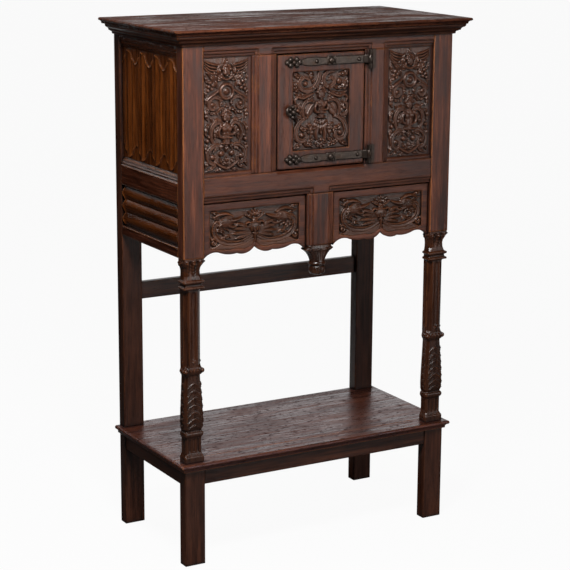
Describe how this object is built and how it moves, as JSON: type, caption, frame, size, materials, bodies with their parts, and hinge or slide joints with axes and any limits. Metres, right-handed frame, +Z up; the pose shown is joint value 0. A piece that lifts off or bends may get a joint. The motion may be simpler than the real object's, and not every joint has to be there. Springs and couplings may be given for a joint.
{
  "type": "cabinet on stand",
  "caption": "Carved oak cabinet on an open stand: strap-hinged door between carved panels, scalloped drawers below, linenfold sides, carved columns and a low platform.",
  "frame": {"origin": "on the floor, under the middle of the top", "axes": "+X to the right as seen from the front, the front faces -Y, +Z up"},
  "size_m": [0.884, 0.452, 1.4],
  "materials": {
    "oak": "dark stained and waxed oak",
    "oak_panel": "warm brown waxed oak",
    "oak_inside": "unwaxed oak of the inside",
    "iron": "dark wrought iron"
  },
  "bodies": {
    "carcass": {"back_board_left": "oak_inside", "back_board_right": "oak_inside", "base_apron_front": "oak", "base_apron_left": "oak", "base_apron_rear": "oak", "base_apron_right": "oak", "base_leg_front_left": "oak", "base_leg_front_right": "oak", "base_leg_rear_left": "oak", "base_leg_rear_right": "oak", "centre_pendant": "oak", "column_front_left": "oak", "column_front_right": "oak", "cornice_front": "oak", "cornice_left": "oak", "cornice_right": "oak", "cupboard_floor": "oak_inside", "drawer_muntin": "oak", "front_middle_rail": "oak", "front_muntin_left": "oak", "front_muntin_right": "oak", "front_panel_left": "oak", "front_panel_right": "oak", "front_top_rail": "oak", "hinge_pintle_lower": "iron", "hinge_pintle_upper": "iron", "platform_board": "oak", "platform_front_strip": "oak", "post_front_left": "oak", "post_front_right": "oak", "post_rear_left": "oak", "post_rear_right": "oak", "rear_bottom_rail": "oak", "rear_stretcher": "oak", "rear_top_rail": "oak", "runner_centre": "oak_inside", "runner_left": "oak_inside", "runner_right": "oak_inside", "side_left_bottom_rail": "oak", "side_left_lower_panel": "oak_panel", "side_left_middle_rail": "oak", "side_left_top_rail": "oak", "side_left_upper_panel": "oak_panel", "side_right_bottom_rail": "oak", "side_right_lower_panel": "oak_panel", "side_right_middle_rail": "oak", "side_right_top_rail": "oak", "side_right_upper_panel": "oak_panel", "top_board_back": "oak", "top_board_front": "oak"},
    "door": {"door_board": "oak", "hinge_strap_upper": "iron", "hinge_strap_lower": "iron"},
    "latch": {"door_latch": "iron"},
    "drawer_left": {"drawer_left_bottom": "oak_inside", "drawer_left_front": "oak", "drawer_left_tray": "oak_inside"},
    "drawer_right": {"drawer_right_bottom": "oak_inside", "drawer_right_front": "oak", "drawer_right_tray": "oak_inside"}
  },
  "joints": [
    {"name": "door_hinge", "type": "hinge", "parent": "carcass", "child": "door", "pos_m": [0.141, -0.1935, 1.178], "axis": [0, 0, 1], "range_deg": [0, 170]},
    {"name": "latch_turn", "type": "hinge", "parent": "door", "child": "latch", "pos_m": [-0.094, -0.1815, 1.178], "axis": [0, -1, 0], "range_deg": [0, 90]},
    {"name": "drawer_left_slide", "type": "slide", "parent": "carcass", "child": "drawer_left", "axis": [0, -1, 0], "range_m": [0, 0.24]},
    {"name": "drawer_right_slide", "type": "slide", "parent": "carcass", "child": "drawer_right", "axis": [0, -1, 0], "range_m": [0, 0.24]}
  ]
}
